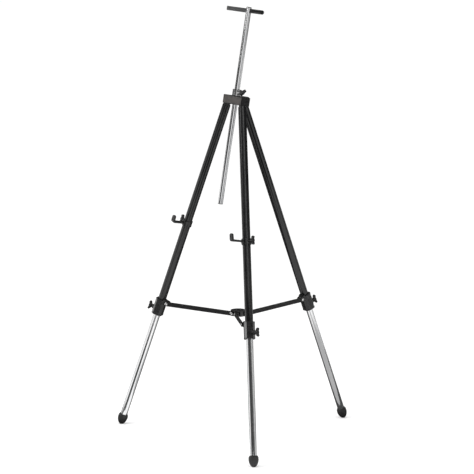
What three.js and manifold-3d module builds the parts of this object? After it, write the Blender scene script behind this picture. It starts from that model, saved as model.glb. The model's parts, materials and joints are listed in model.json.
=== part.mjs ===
// Tripod field easel: three telescopic legs under a head block, a sliding mast with a
// cross bar, two clamped canvas hooks, and a hub with three folding braces.
// Millimetres, +Z up. The painter stands on the -Y side; +X is to the painter's right.
import * as THREE from "three";
import { mergeVertices } from "three/addons/utils/BufferGeometryUtils.js";
import Module from "manifold-3d";

const wasm = await Module();
wasm.setup();

// Driving dimensions
const GAP = 0.3; // running clearance between touching pieces
const PIVOT_HEIGHT = 1056.4; // leg pivots above the floor
const FRONT_TILT = THREE.MathUtils.degToRad(19.4);
const REAR_TILT = THREE.MathUtils.degToRad(21);
const FRONT_AZIMUTH = THREE.MathUtils.degToRad(31); // below the X axis
const FRONT_PIVOT_X = 36.2;
const FRONT_PIVOT_Y = -12.25;
const REAR_PIVOT_Y = 17;
const FOLDED_TILT = THREE.MathUtils.degToRad(2.5);
const PIN_HALF = 13; // half of a leg's pivot pin

const UPPER_RADIUS = 12.5;
const UPPER_BORE = 11.5;
const UPPER_TOP = 13.5; // distances down a leg are measured from its pivot
const UPPER_END = 700;
const LOWER_RADIUS = 10.75;
const LOWER_BORE = 9.7;
const LOWER_TOP = 560;
const NECK_RADIUS = 10.5;
const NECK_PLUG = 60; // end of the leg top inside its tube
const BUSH_HEIGHT = 8;
const BUSH_PLUG = 16;

const CLAMP_TOP = 679;
const CLAMP_END = 731.5;
const CLAMP_HALF = 17;
const CLAMP_BEVEL = 9.2;
const LUG_AT = 683; // brace pivot, down the leg
const LUG_OFFSET = 25; // brace pivot, inwards from the leg's axis
const LUG_RADIUS = 8;
const KNOB_AT = 713.5;
const BOSS_RADIUS = 7.5;
const BOSS_END = 22;

const SCREW_RADIUS = 3;
const KNOB_START = 24.5;
const KNOB_THICKNESS = 8.4;
const KNOB_REACH = 14; // wing tip from the knob's axis
const MAST_KNOB_REACH = 12;
const MAST_KNOB_TURN = THREE.MathUtils.degToRad(-44);

const FOOT_LENGTH = 34;
const FOOT_FLOOR = 12; // solid rubber under the tube
const FOOT_RIM = 13.6;
const FOOT_RADIUS = 15.6;

const HUB_HEIGHT = 391;
const HUB_HALF = 9;
const HUB_CORE = 12;
const HUB_ARM = 9;
const HUB_PLATE = { radius: 24, bottom: 8.3, top: 11 }; // round cover over the hub's arms
const HUB_PIN_FRONT = 18; // hub pivots, out along each brace
const HUB_PIN_REAR = 16;
const STRAP_THICKNESS = 4;
const STRAP_HALF = 7;
const STRAP_OFFSET = CLAMP_HALF + GAP + STRAP_THICKNESS / 2;
const RIVET_RADIUS = 3;
const RIVET_HEAD = 5;
const RIVET_HEAD_HEIGHT = 2;
const HUB_RIVET_DEPTH = 7; // from the strap's middle plane into the hub

const MAST_LEAN = THREE.MathUtils.degToRad(10.4);
const MAST_Y = -11.1; // mast axis at the height of the pivots
const MAST_RADIUS = 8;
const MAST_BORE = 6.8;
const MAST_TOP = 292;
const MAST_BOTTOM = -317.6;
const CAP_PLUG = 9;
const CAP_HEIGHT = 2;
const HEAD_HALF = 50;
const HEAD_FRONT = -13.4; // the head's sizes are measured from the mast axis and the pivots
const HEAD_BACK = 18.6;
const HEAD_BOTTOM = -9;
const HEAD_TOP = 18;
const HEAD_CORNER = 4; // chamfer of the head's front corners
const REAR_BOX = { half: 17, back: 31, below: 7, above: 13 }; // rear leg's part of the head
const MAST_HOLE = MAST_RADIUS + 0.5;
const POCKET_RADIUS = NECK_RADIUS + 0.7;
const COLLAR_RADIUS = 13.5;
const COLLAR_HEIGHT = 20;
const COLLAR_KNOB = 12.6;

const BAR_LEFT = -112;
const BAR_RIGHT = 67;
const BAR_FRONT = -2;
const BAR_BACK = 10;
const BAR_HEIGHT = 13;
const BAR_ROUND = 2.5;
const BAR_DROP = 3; // mast end above the cross bar

const HOOK_AT_LEFT = 416; // the two hooks slide separately
const HOOK_AT_RIGHT = 432;
const HOOK_TURN = THREE.MathUtils.degToRad(57.5); // from a leg's outward side to the front
const BAND_RADIUS = 15.5;
const BAND_HALF = 9;
const HOOK_HALF_WIDTH = 7;
const HOOK_THICKNESS = 5;
const HOOK_NECK = 4; // thickness of the arm's end inside the band
const HOOK_LEDGE = 17.5; // start of the ledge that carries the canvas
const HOOK_REACH = 60;
const HOOK_BOSS = 6.5;
const PAD_HALF = 6; // thicker part of the band behind the arm
const TONGUE_THICKNESS = 7;
const TONGUE_HEIGHT = 24;

// Materials
const finish = (color, roughness, metalness) =>
  new THREE.MeshStandardMaterial({ color, roughness, metalness });
const blackGloss = () => finish(0x101011, 0.22, 0.3);
const blackPlastic = () => finish(0x17171a, 0.45, 0);
const headPlastic = () => finish(0x3b3836, 0.5, 0);
const chrome = () => finish(0xd6d8da, 0.12, 1);
const steel = () => finish(0xb4b6b8, 0.25, 1);
const rubber = () => finish(0x1a1a1b, 0.75, 0);

// Basic shapes, all with their axis on Z unless turned
const SEGMENTS = 24;
const FINE = 12; // sides of screws, rivets and their holes

function rod(radius, from, to, segments = SEGMENTS) {
  const made = new THREE.CylinderGeometry(radius, radius, to - from, segments);
  return made.rotateX(Math.PI / 2).translate(0, 0, (from + to) / 2);
}

// A solid of revolution from (radius, height) pairs, listed upwards on the outside.
function revolve(profile, segments = SEGMENTS) {
  const points = profile.map(([radius, height]) => new THREE.Vector2(radius, height));
  return new THREE.LatheGeometry(points, segments).rotateX(Math.PI / 2);
}

function tube(outer, inner, from, to) {
  return revolve([
    [inner, from],
    [outer, from],
    [outer, to],
    [inner, to],
    [inner, from],
  ]);
}

function box(x0, x1, y0, y1, z0, z1) {
  const made = new THREE.BoxGeometry(x1 - x0, y1 - y0, z1 - z0);
  return made.translate((x0 + x1) / 2, (y0 + y1) / 2, (z0 + z1) / 2);
}

function prism(outline, from, to) {
  const shape = outline instanceof THREE.Shape ? outline : new THREE.Shape(outline);
  const options = { depth: to - from, bevelEnabled: false, curveSegments: 8 };
  return new THREE.ExtrudeGeometry(shape, options).translate(0, 0, from);
}

const alongX = (geometry) => geometry.rotateY(Math.PI / 2);
const alongY = (geometry) => geometry.rotateX(-Math.PI / 2);
const points2 = (pairs) => pairs.map(([x, y]) => new THREE.Vector2(x, y));

// Joining and cutting
function solid(geometry) {
  const bare = new THREE.BufferGeometry();
  bare.setAttribute("position", geometry.getAttribute("position"));
  if (geometry.index) bare.setIndex(geometry.index);
  const merged = mergeVertices(bare, 1e-4);
  const vertProperties = merged.getAttribute("position").array;
  const triVerts = new Uint32Array(merged.index.array);
  return new wasm.Manifold(new wasm.Mesh({ numProp: 3, vertProperties, triVerts }));
}

function geometryOf(made) {
  const mesh = made.getMesh();
  const geometry = new THREE.BufferGeometry();
  const position = new Float32Array(mesh.vertProperties);
  geometry.setAttribute("position", new THREE.BufferAttribute(position, 3));
  geometry.setIndex(new THREE.BufferAttribute(new Uint32Array(mesh.triVerts), 1));
  return geometry;
}

function join(...geometries) {
  return geometryOf(geometries.map(solid).reduce((all, next) => all.add(next)));
}

function cut(body, ...tools) {
  return geometryOf(tools.map(solid).reduce((rest, tool) => rest.subtract(tool), solid(body)));
}

function piece(name, geometry, material, parent) {
  const mesh = new THREE.Mesh(geometry, material);
  mesh.name = name;
  parent.add(mesh);
  return mesh;
}

// The three legs. A leg's frame has its origin on the pivot, Z up the leg and X outwards.
const LEGS = [
  {
    name: "front_left",
    pivot: new THREE.Vector3(-FRONT_PIVOT_X, FRONT_PIVOT_Y, PIVOT_HEIGHT),
    azimuth: Math.PI + FRONT_AZIMUTH,
    tilt: FRONT_TILT,
    strapSide: 1,
    knobTurn: 0,
    hookTurn: HOOK_TURN,
    hookAt: HOOK_AT_LEFT,
    hubPin: HUB_PIN_FRONT,
  },
  {
    name: "front_right",
    pivot: new THREE.Vector3(FRONT_PIVOT_X, FRONT_PIVOT_Y, PIVOT_HEIGHT),
    azimuth: -FRONT_AZIMUTH,
    tilt: FRONT_TILT,
    strapSide: -1,
    knobTurn: Math.PI / 4,
    hookTurn: -HOOK_TURN,
    hookAt: HOOK_AT_RIGHT,
    hubPin: HUB_PIN_FRONT,
  },
  {
    name: "rear",
    pivot: new THREE.Vector3(0, REAR_PIVOT_Y, PIVOT_HEIGHT),
    azimuth: Math.PI / 2,
    tilt: REAR_TILT,
    strapSide: -1,
    knobTurn: 0,
    hookTurn: null,
    hookAt: null,
    hubPin: HUB_PIN_REAR,
  },
];

function legFrame(leg) {
  const frame = new THREE.Group();
  frame.position.copy(leg.pivot);
  frame.rotation.set(0, -leg.tilt, leg.azimuth, "ZYX");
  frame.updateMatrix();
  return frame;
}

// Two-winged knob with its axis on X, starting at x = 0, wings along Z
function wingKnob(reach) {
  const upper = [
    [2, 4.5],
    [5.5, reach - 2],
    [8, reach],
    [11, reach - 0.8],
    [12, reach - 3.5],
    [10.4, 4],
  ];
  const lower = upper.map(([x, z]) => [x, -z]).reverse();
  const wing = points2([...upper, ...lower]);
  const half = KNOB_THICKNESS / 2;
  const wings = prism(wing, -half, half).rotateX(Math.PI / 2);
  const hub = alongX(rod(6.2, 0, 10.4, 16));
  const bore = alongX(rod(SCREW_RADIUS + GAP, -1, 8, FINE));
  return cut(join(wings, hub), bore);
}

function knobScrew(tip) {
  return alongX(rod(SCREW_RADIUS, tip, KNOB_START + 7.7, FINE));
}

function legTop() {
  const neck = revolve([
    [0, -NECK_PLUG],
    [UPPER_BORE - GAP, -NECK_PLUG],
    [UPPER_BORE - GAP, -UPPER_TOP - 2],
    [NECK_RADIUS, -UPPER_TOP - 2],
    [NECK_RADIUS, 0],
    [NECK_RADIUS * Math.cos(Math.PI / 8), NECK_RADIUS * Math.sin(Math.PI / 8)],
    [NECK_RADIUS * Math.cos(Math.PI / 4), NECK_RADIUS * Math.sin(Math.PI / 4)],
    [NECK_RADIUS * Math.cos((3 * Math.PI) / 8), NECK_RADIUS * Math.sin((3 * Math.PI) / 8)],
    [0, NECK_RADIUS],
  ]);
  const hole = alongY(rod(RIVET_RADIUS + GAP, -20, 20, FINE));
  return cut(neck, hole);
}

function clampHousing(leg) {
  const inner = CLAMP_HALF - CLAMP_BEVEL;
  const corners = [];
  for (let quarter = 0; quarter < 4; quarter++) {
    const turn = (quarter * Math.PI) / 2;
    for (const [x, y] of [
      [CLAMP_HALF, -inner],
      [CLAMP_HALF, inner],
    ]) {
      const corner = new THREE.Vector2(x, y);
      corners.push(corner.rotateAround(new THREE.Vector2(), turn));
    }
  }
  const barrel = prism(corners, -CLAMP_END, -CLAMP_TOP);
  const lugShape = new THREE.Shape();
  lugShape.moveTo(-10, -LUG_AT - LUG_RADIUS);
  lugShape.lineTo(-10, -LUG_AT + LUG_RADIUS);
  lugShape.lineTo(-LUG_OFFSET, -LUG_AT + LUG_RADIUS);
  lugShape.absarc(-LUG_OFFSET, -LUG_AT, LUG_RADIUS, Math.PI / 2, (3 * Math.PI) / 2);
  const far = leg.strapSide * CLAMP_HALF;
  const [low, high] = far > 0 ? [0, far] : [far, 0];
  const lug = prism(lugShape, -high, -low).rotateX(Math.PI / 2);
  const boss = alongX(rod(BOSS_RADIUS, 12, BOSS_END, 16));
  boss.translate(0, 0, -KNOB_AT).rotateZ(leg.knobTurn);
  const screwHole = alongX(rod(SCREW_RADIUS + GAP, 5, 30, FINE));
  screwHole.translate(0, 0, -KNOB_AT).rotateZ(leg.knobTurn);
  const seat = rod(UPPER_RADIUS + GAP, -UPPER_END - GAP, -CLAMP_TOP + 5);
  const throat = rod(LOWER_RADIUS + GAP, -CLAMP_END - 5, -CLAMP_TOP);
  const pinHole = alongY(rod(RIVET_RADIUS + GAP, low - 1, high + 1, FINE));
  pinHole.translate(-LUG_OFFSET, 0, -LUG_AT);
  return cut(join(barrel, lug, boss), seat, throat, screwHole, pinHole);
}

// Plug that guides the lower tube's top end inside the upper tube
function guideBush() {
  return revolve([
    [0, -LOWER_TOP - BUSH_PLUG],
    [LOWER_BORE - GAP, -LOWER_TOP - BUSH_PLUG],
    [LOWER_BORE - GAP, -LOWER_TOP + GAP],
    [UPPER_BORE - GAP, -LOWER_TOP + GAP],
    [UPPER_BORE - GAP, -LOWER_TOP + BUSH_HEIGHT],
    [0, -LOWER_TOP + BUSH_HEIGHT],
  ]);
}

// Rubber foot with a rim at its top and a flat where it stands on the floor
function foot(leg, frame, length) {
  const top = -length + FOOT_LENGTH;
  const outside = [
    [0, -length - 1],
    [5, -length + 0.2],
    [9.2, -length + 4],
    [12.6, -length + 10],
    [14.9, -length + 17],
    [FOOT_RADIUS, -length + 23],
    [FOOT_RADIUS - 0.4, -length + 29],
    [FOOT_RIM, -length + 31.5],
    [FOOT_RIM, top],
    [LOWER_RADIUS + GAP, top],
    [LOWER_RADIUS + GAP, -length + FOOT_FLOOR - GAP],
    [0, -length + FOOT_FLOOR - GAP],
  ];
  const floor = box(-900, 900, -900, 900, -60, 0);
  floor.applyMatrix4(frame.matrix.clone().invert());
  return cut(revolve(outside), floor);
}

function buildLeg(leg, easel) {
  const frame = legFrame(leg);
  const length = PIVOT_HEIGHT / Math.cos(leg.tilt);
  easel.add(frame);
  piece(`leg_top_${leg.name}`, legTop(), blackPlastic(), frame);
  const upper = tube(UPPER_RADIUS, UPPER_BORE, -UPPER_END, -UPPER_TOP);
  piece(`upper_tube_${leg.name}`, upper, blackGloss(), frame);
  piece(`leg_clamp_${leg.name}`, clampHousing(leg), blackPlastic(), frame);
  const lower = tube(LOWER_RADIUS, LOWER_BORE, -length + FOOT_FLOOR, -LOWER_TOP);
  piece(`lower_tube_${leg.name}`, lower, chrome(), frame);
  piece(`guide_bush_${leg.name}`, guideBush(), blackPlastic(), frame);
  piece(`foot_${leg.name}`, foot(leg, frame, length), rubber(), frame);
  const knobFrame = new THREE.Group();
  knobFrame.position.z = -KNOB_AT;
  knobFrame.rotation.z = leg.knobTurn;
  frame.add(knobFrame);
  const knob = piece(`clamp_knob_${leg.name}`, wingKnob(KNOB_REACH), blackPlastic(), knobFrame);
  knob.position.x = KNOB_START;
  const screw = knobScrew(LOWER_RADIUS + 0.5);
  piece(`clamp_screw_${leg.name}`, screw, steel(), knobFrame);
  if (leg.hookTurn !== null) buildHook(leg, frame);
}

// Canvas hook: a band round the leg, an arm towards the painter and an upturned tongue
function hookArm() {
  const outline = points2([
    [BAND_RADIUS - 1, -HOOK_NECK / 2],
    [HOOK_LEDGE, -HOOK_NECK / 2],
    [HOOK_LEDGE, -HOOK_THICKNESS / 2],
    [HOOK_REACH - 6, -HOOK_THICKNESS / 2],
    [HOOK_REACH - 1.5, -HOOK_THICKNESS / 2 + 1.5],
    [HOOK_REACH, -HOOK_THICKNESS / 2 + 6],
    [HOOK_REACH, TONGUE_HEIGHT - HOOK_THICKNESS / 2],
    [HOOK_REACH - TONGUE_THICKNESS, TONGUE_HEIGHT - HOOK_THICKNESS / 2],
    [HOOK_REACH - TONGUE_THICKNESS, HOOK_THICKNESS / 2],
    [HOOK_LEDGE, HOOK_THICKNESS / 2],
    [HOOK_LEDGE, HOOK_NECK / 2],
    [BAND_RADIUS - 1, HOOK_NECK / 2],
  ]);
  const blank = prism(outline, -HOOK_HALF_WIDTH, HOOK_HALF_WIDTH).rotateX(Math.PI / 2);
  const face = new THREE.Shape();
  const crown = TONGUE_HEIGHT - HOOK_THICKNESS / 2 - HOOK_HALF_WIDTH;
  face.moveTo(-HOOK_HALF_WIDTH - 1, -20);
  face.lineTo(HOOK_HALF_WIDTH + 1, -20);
  face.lineTo(HOOK_HALF_WIDTH + 1, crown - 1);
  face.lineTo(HOOK_HALF_WIDTH, crown);
  face.absarc(0, crown, HOOK_HALF_WIDTH, 0, Math.PI);
  face.lineTo(-HOOK_HALF_WIDTH - 1, crown - 1);
  const keep = prism(face, 0, HOOK_REACH + 5).rotateX(Math.PI / 2).rotateZ(Math.PI / 2);
  return geometryOf(solid(blank).intersect(solid(keep)));
}

function hookBand(side) {
  const band = rod(BAND_RADIUS, -BAND_HALF, BAND_HALF);
  const pad = box(0, BAND_RADIUS + 1, -HOOK_HALF_WIDTH, HOOK_HALF_WIDTH, -PAD_HALF, PAD_HALF);
  const boss = alongX(rod(HOOK_BOSS, 8, BOSS_END, 16)).rotateZ((side * Math.PI) / 2);
  const bore = rod(UPPER_RADIUS + GAP, -20, 20);
  const screwHole = alongX(rod(SCREW_RADIUS + GAP, 5, 30, FINE));
  screwHole.rotateZ((side * Math.PI) / 2);
  const notchHalf = HOOK_HALF_WIDTH + GAP;
  const notchTop = HOOK_NECK / 2 + GAP;
  const notch = box(BAND_RADIUS - 1 - GAP, 30, -notchHalf, notchHalf, -notchTop, notchTop);
  return cut(join(band, pad, boss), bore, screwHole, notch);
}

function buildHook(leg, frame) {
  const side = -Math.sign(leg.hookTurn);
  const hook = new THREE.Group();
  hook.position.z = -leg.hookAt;
  hook.rotation.z = leg.hookTurn;
  frame.add(hook);
  piece(`hook_band_${leg.name}`, hookBand(side), blackPlastic(), hook);
  piece(`canvas_hook_${leg.name}`, hookArm(), blackPlastic(), hook);
  const knobFrame = new THREE.Group();
  knobFrame.rotation.z = (side * Math.PI) / 2;
  hook.add(knobFrame);
  const knob = piece(`hook_knob_${leg.name}`, wingKnob(KNOB_REACH), blackPlastic(), knobFrame);
  knob.position.x = KNOB_START;
  piece(`hook_screw_${leg.name}`, knobScrew(UPPER_RADIUS + 0.5), steel(), knobFrame);
}

// Where a leg's brace runs: along its direction and beside it, seen from the hub's axis
function braceLine(leg) {
  const along = new THREE.Vector3(Math.cos(leg.azimuth), Math.sin(leg.azimuth), 0);
  const aside = new THREE.Vector3(-along.y, along.x, 0).multiplyScalar(leg.strapSide);
  const offset = aside.dot(leg.pivot) + STRAP_OFFSET;
  const lug = new THREE.Vector3(-LUG_OFFSET, 0, -LUG_AT).applyMatrix4(legFrame(leg).matrix);
  const reach = along.dot(lug) - leg.hubPin;
  const rise = lug.z - HUB_HEIGHT;
  return { along, aside, offset, length: Math.hypot(reach, rise), angle: Math.atan2(rise, reach) };
}

// A frame with X along a brace and Y away from the hub, on the brace's side of the leg
function lineFrame(line) {
  const frame = new THREE.Group();
  const turn = Math.atan2(line.along.y, line.along.x);
  frame.rotation.z = turn;
  const across = new THREE.Vector3(-line.along.y, line.along.x, 0);
  return { frame, side: Math.sign(across.dot(line.aside)) };
}

function strap(length) {
  const outline = new THREE.Shape();
  outline.absarc(0, 0, STRAP_HALF, Math.PI / 2, (3 * Math.PI) / 2);
  outline.absarc(length, 0, STRAP_HALF, -Math.PI / 2, Math.PI / 2);
  for (const x of [0, length]) {
    const hole = new THREE.Path();
    hole.absarc(x, 0, RIVET_RADIUS + GAP, 0, 2 * Math.PI, true);
    outline.holes.push(hole);
  }
  const half = STRAP_THICKNESS / 2;
  return prism(outline, -half, half).rotateX(Math.PI / 2);
}

// A rivet on the Y axis: head outside the strap, shank through it towards y = inner
function rivet(inner, side) {
  const outer = STRAP_THICKNESS / 2 + GAP;
  const made = revolve(
    [
      [0, inner],
      [RIVET_RADIUS, inner],
      [RIVET_RADIUS, outer],
      [RIVET_HEAD, outer],
      [RIVET_HEAD - 1, outer + RIVET_HEAD_HEIGHT],
      [0, outer + RIVET_HEAD_HEIGHT],
    ],
    FINE,
  );
  return side > 0 ? alongY(made) : alongY(made).rotateZ(Math.PI);
}

function buildBraces(easel) {
  const { radius, bottom, top } = HUB_PLATE;
  const arms = [rod(HUB_CORE, -HUB_HALF, HUB_HALF), rod(radius, bottom, top)];
  const holes = [];
  for (const leg of LEGS) {
    const line = braceLine(leg);
    const { frame, side } = lineFrame(line);
    frame.position.z = HUB_HEIGHT;
    easel.add(frame);
    frame.updateMatrix();
    const pivot = new THREE.Group();
    pivot.position.set(leg.hubPin, side * line.offset, 0);
    frame.add(pivot);
    const swing = new THREE.Group();
    swing.rotation.y = -line.angle;
    pivot.add(swing);
    piece(`brace_${leg.name}`, strap(line.length), blackGloss(), swing);
    const outer = piece(
      `brace_rivet_${leg.name}`,
      rivet(-STRAP_THICKNESS / 2, side),
      steel(),
      swing,
    );
    outer.position.x = line.length;
    piece(`hub_rivet_${leg.name}`, rivet(-HUB_RIVET_DEPTH, side), steel(), pivot);
    const face = line.offset - STRAP_THICKNESS / 2 - GAP;
    const [low, high] = side > 0 ? [face - HUB_ARM, face] : [-face, HUB_ARM - face];
    const turned = new THREE.Matrix4().makeRotationZ(frame.rotation.z);
    const block = box(-4, leg.hubPin, low, high, -HUB_HALF, HUB_HALF);
    const end = alongY(rod(HUB_HALF, low, high)).translate(leg.hubPin, 0, 0);
    arms.push(block.applyMatrix4(turned), end.applyMatrix4(turned));
    const hole = alongY(rod(RIVET_RADIUS + GAP, low - 1, high + 1, FINE));
    holes.push(hole.translate(leg.hubPin, 0, 0).applyMatrix4(turned));
  }
  const hub = piece("brace_hub", cut(join(...arms), ...holes), blackPlastic(), easel);
  hub.position.z = HUB_HEIGHT;
}

// The head block holds the mast and the three leg pivots
function headBlock(mastFrame) {
  const plan = points2([
    [-HEAD_HALF + HEAD_CORNER, HEAD_FRONT],
    [HEAD_HALF - HEAD_CORNER, HEAD_FRONT],
    [HEAD_HALF, HEAD_FRONT + HEAD_CORNER],
    [HEAD_HALF, HEAD_BACK],
    [-HEAD_HALF, HEAD_BACK],
    [-HEAD_HALF, HEAD_FRONT + HEAD_CORNER],
  ]);
  const bar = prism(plan, HEAD_BOTTOM, HEAD_TOP);
  bar.applyMatrix4(mastFrame.matrix);
  const { half, back, below, above } = REAR_BOX;
  const rearBox = box(-half, half, 0, back, PIVOT_HEIGHT - below, PIVOT_HEIGHT + above);
  const mastHole = rod(MAST_HOLE, -60, 60).applyMatrix4(mastFrame.matrix);
  const tools = [mastHole];
  for (const leg of LEGS) {
    const { matrix } = legFrame(leg);
    tools.push(pocket(leg.tilt).applyMatrix4(matrix));
    const pin = alongY(rod(RIVET_RADIUS + GAP, -PIN_HALF - GAP, PIN_HALF + GAP, FINE));
    tools.push(pin.applyMatrix4(matrix));
  }
  return cut(join(bar, rearBox), ...tools);
}

// Room for a leg's neck, from its open position to its folded one
function pocket(tilt) {
  const steps = 2;
  const sweeps = [new THREE.SphereGeometry(POCKET_RADIUS, 16, 8)];
  for (let step = 0; step <= steps; step++) {
    const swing = ((tilt - FOLDED_TILT) * step) / steps;
    sweeps.push(rod(POCKET_RADIUS, -30, 0, 16).rotateY(swing));
  }
  return join(...sweeps);
}

function buildHead(easel) {
  const mastFrame = new THREE.Group();
  mastFrame.position.set(0, MAST_Y, PIVOT_HEIGHT);
  mastFrame.rotation.x = -MAST_LEAN;
  mastFrame.updateMatrix();
  easel.add(mastFrame);
  piece("head_block", headBlock(mastFrame), headPlastic(), easel);
  for (const leg of LEGS) {
    const frame = legFrame(leg);
    easel.add(frame);
    const pin = alongY(rod(RIVET_RADIUS, -PIN_HALF, PIN_HALF, FINE));
    piece(`pivot_pin_${leg.name}`, pin, steel(), frame);
  }
  buildCollar(mastFrame);
  buildMast(mastFrame);
}

function buildCollar(mastFrame) {
  const bottom = HEAD_TOP + GAP;
  const knobHeight = bottom + COLLAR_KNOB;
  const ring = rod(COLLAR_RADIUS, bottom, bottom + COLLAR_HEIGHT);
  const boss = alongX(rod(BOSS_RADIUS, 6, BOSS_END, 16)).translate(0, 0, knobHeight);
  const bore = rod(MAST_RADIUS + GAP, 0, 60);
  const screwHole = alongX(rod(SCREW_RADIUS + GAP, 4, 30, FINE)).translate(0, 0, knobHeight);
  const collar = cut(join(ring, boss), bore, screwHole);
  piece("mast_collar", collar, steel(), mastFrame);
  const knobFrame = new THREE.Group();
  knobFrame.position.z = knobHeight;
  knobFrame.rotation.x = MAST_KNOB_TURN;
  mastFrame.add(knobFrame);
  piece("mast_knob", wingKnob(MAST_KNOB_REACH), blackPlastic(), knobFrame).position.x = KNOB_START;
  piece("mast_screw", knobScrew(MAST_RADIUS + 0.5), steel(), knobFrame);
}

// Plug in a mast end that is at z = 0
function mastPlug() {
  return revolve([
    [0, -CAP_PLUG],
    [MAST_BORE - GAP, -CAP_PLUG],
    [MAST_BORE - GAP, GAP],
    [MAST_RADIUS, GAP],
    [MAST_RADIUS - 1, CAP_HEIGHT],
    [0, CAP_HEIGHT],
  ]);
}

function buildMast(mastFrame) {
  const mast = tube(MAST_RADIUS, MAST_BORE, MAST_BOTTOM, MAST_TOP);
  const barTop = MAST_TOP - BAR_DROP;
  const barMiddle = barTop - BAR_HEIGHT / 2;
  const screwHole = alongY(rod(2.3, 0, 20, FINE)).translate(0, 0, barMiddle);
  piece("mast_tube", cut(mast, screwHole), chrome(), mastFrame);
  const topCap = mastPlug().translate(0, 0, MAST_TOP);
  const bottomCap = mastPlug().rotateX(Math.PI).translate(0, 0, MAST_BOTTOM);
  piece("mast_top_cap", topCap, blackPlastic(), mastFrame);
  piece("mast_bottom_cap", bottomCap, blackPlastic(), mastFrame);
  piece("cross_bar", crossBar(barTop, screwHole), blackPlastic(), mastFrame);
  const screw = revolve(
    [
      [0, MAST_BORE + 0.5],
      [2, MAST_BORE + 0.5],
      [2, BAR_BACK + GAP],
      [4, BAR_BACK + GAP],
      [3.2, BAR_BACK + 2.2],
      [0, BAR_BACK + 2.2],
    ],
    FINE,
  );
  piece("cross_bar_screw", alongY(screw).translate(0, 0, barMiddle), steel(), mastFrame);
}

function crossBar(top, screwHole) {
  const half = BAR_HEIGHT / 2;
  const round = BAR_ROUND;
  const section = points2([
    [BAR_FRONT + round, -half],
    [BAR_BACK - round, -half],
    [BAR_BACK, -half + round],
    [BAR_BACK, half - round],
    [BAR_BACK - round, half],
    [BAR_FRONT + round, half],
    [BAR_FRONT, half - round],
    [BAR_FRONT, -half + round],
  ]);
  const bar = prism(section, BAR_LEFT, BAR_RIGHT);
  bar.rotateX(Math.PI / 2).rotateZ(Math.PI / 2).translate(0, 0, top - half);
  const notch = rod(MAST_RADIUS + GAP, top - 30, top + 30);
  return cut(bar, notch, screwHole);
}

// The whole easel stands on the floor, centred on its footprint
const easel = new THREE.Group();
buildHead(easel);
for (const leg of LEGS) buildLeg(leg, easel);
buildBraces(easel);
easel.updateMatrixWorld(true);
const bounds = new THREE.Box3().setFromObject(easel, true);
easel.position.set(
  -(bounds.min.x + bounds.max.x) / 2,
  -(bounds.min.y + bounds.max.y) / 2,
  -bounds.min.z,
);

export default easel;
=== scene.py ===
"""Looks for a tripod field easel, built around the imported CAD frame. Blender 4.5.

Sizes are in millimetres inside each piece's own frame and become metres when the piece
is placed. A leg's frame has its origin on the leg's pivot, Z up the leg and X outwards.
"""

import json
import math

import bmesh
import bpy
from mathutils import Matrix, Vector


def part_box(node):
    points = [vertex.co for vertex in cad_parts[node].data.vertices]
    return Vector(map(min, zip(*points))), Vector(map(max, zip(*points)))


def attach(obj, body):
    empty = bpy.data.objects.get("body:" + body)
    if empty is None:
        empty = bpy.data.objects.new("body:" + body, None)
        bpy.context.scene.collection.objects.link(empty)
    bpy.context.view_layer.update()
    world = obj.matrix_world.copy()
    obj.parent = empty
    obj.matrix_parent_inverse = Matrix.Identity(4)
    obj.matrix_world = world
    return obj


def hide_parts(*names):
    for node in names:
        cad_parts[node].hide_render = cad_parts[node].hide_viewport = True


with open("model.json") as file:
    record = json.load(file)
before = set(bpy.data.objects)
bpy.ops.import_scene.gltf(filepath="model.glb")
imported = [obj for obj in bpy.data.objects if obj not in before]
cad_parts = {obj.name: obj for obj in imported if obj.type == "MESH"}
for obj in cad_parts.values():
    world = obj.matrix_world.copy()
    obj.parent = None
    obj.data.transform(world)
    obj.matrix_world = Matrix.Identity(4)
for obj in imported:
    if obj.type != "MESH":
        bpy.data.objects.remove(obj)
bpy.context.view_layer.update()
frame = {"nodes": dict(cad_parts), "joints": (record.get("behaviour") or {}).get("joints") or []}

MM = 0.001
LOCAL = "local_place"
JOINTS = {joint["name"]: joint for joint in frame["joints"]}

# Sizes shared with the CAD model, in millimetres
GAP = 0.3
UPPER_RADIUS, UPPER_BORE, UPPER_TOP, UPPER_END = 12.5, 11.5, 13.5, 700.0
LOWER_RADIUS, LOWER_BORE, LOWER_TOP = 10.75, 9.7, 560.0
NECK_RADIUS, NECK_PLUG = 10.5, 60.0
CLAMP_TOP, CLAMP_END, CLAMP_HALF = 679.0, 731.5, 17.0
LUG_AT, LUG_OFFSET, LUG_RADIUS = 683.0, 25.0, 8.0
KNOB_AT, BOSS_RADIUS, BOSS_END = 713.5, 7.5, 22.0
SCREW_RADIUS, SCREW_HOLE, KNOB_START = 3.0, 3.0 + GAP, 24.5
KNOB_REACH, MAST_KNOB_REACH, KNOB_THICKNESS = 14.0, 12.0, 8.4
FOOT_LENGTH, FOOT_RADIUS, FOOT_FLOOR, FOOT_RIM = 34.0, 15.6, 12.0, 13.6
HUB_HALF, HUB_CORE, HUB_ARM = 9.0, 12.0, 9.0
PLATE_RADIUS, PLATE_BOTTOM, PLATE_TOP = 24.0, 8.3, 11.0
STRAP_THICKNESS, STRAP_HALF = 4.0, 7.0
RIVET_RADIUS, RIVET_HOLE, RIVET_HEAD = 3.0, 3.0 + GAP, 5.0
MAST_RADIUS, MAST_BORE, MAST_TOP, MAST_BOTTOM = 8.0, 6.8, 292.0, -317.6
HEAD_HALF, HEAD_FRONT, HEAD_BACK, HEAD_BOTTOM, HEAD_TOP = 50.0, -13.4, 18.6, -9.0, 18.0
COLLAR_RADIUS, COLLAR_HEIGHT, COLLAR_KNOB = 13.5, 20.0, 12.6
BAR_LEFT, BAR_RIGHT, BAR_FRONT, BAR_BACK = -112.0, 67.0, -2.0, 10.0
BAR_HEIGHT, BAR_DROP = 13.0, 3.0
BAND_RADIUS, BAND_HALF = 15.5, 9.0
HOOK_HALF_WIDTH, HOOK_THICKNESS, HOOK_REACH = 7.0, 5.0, 60.0
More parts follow.
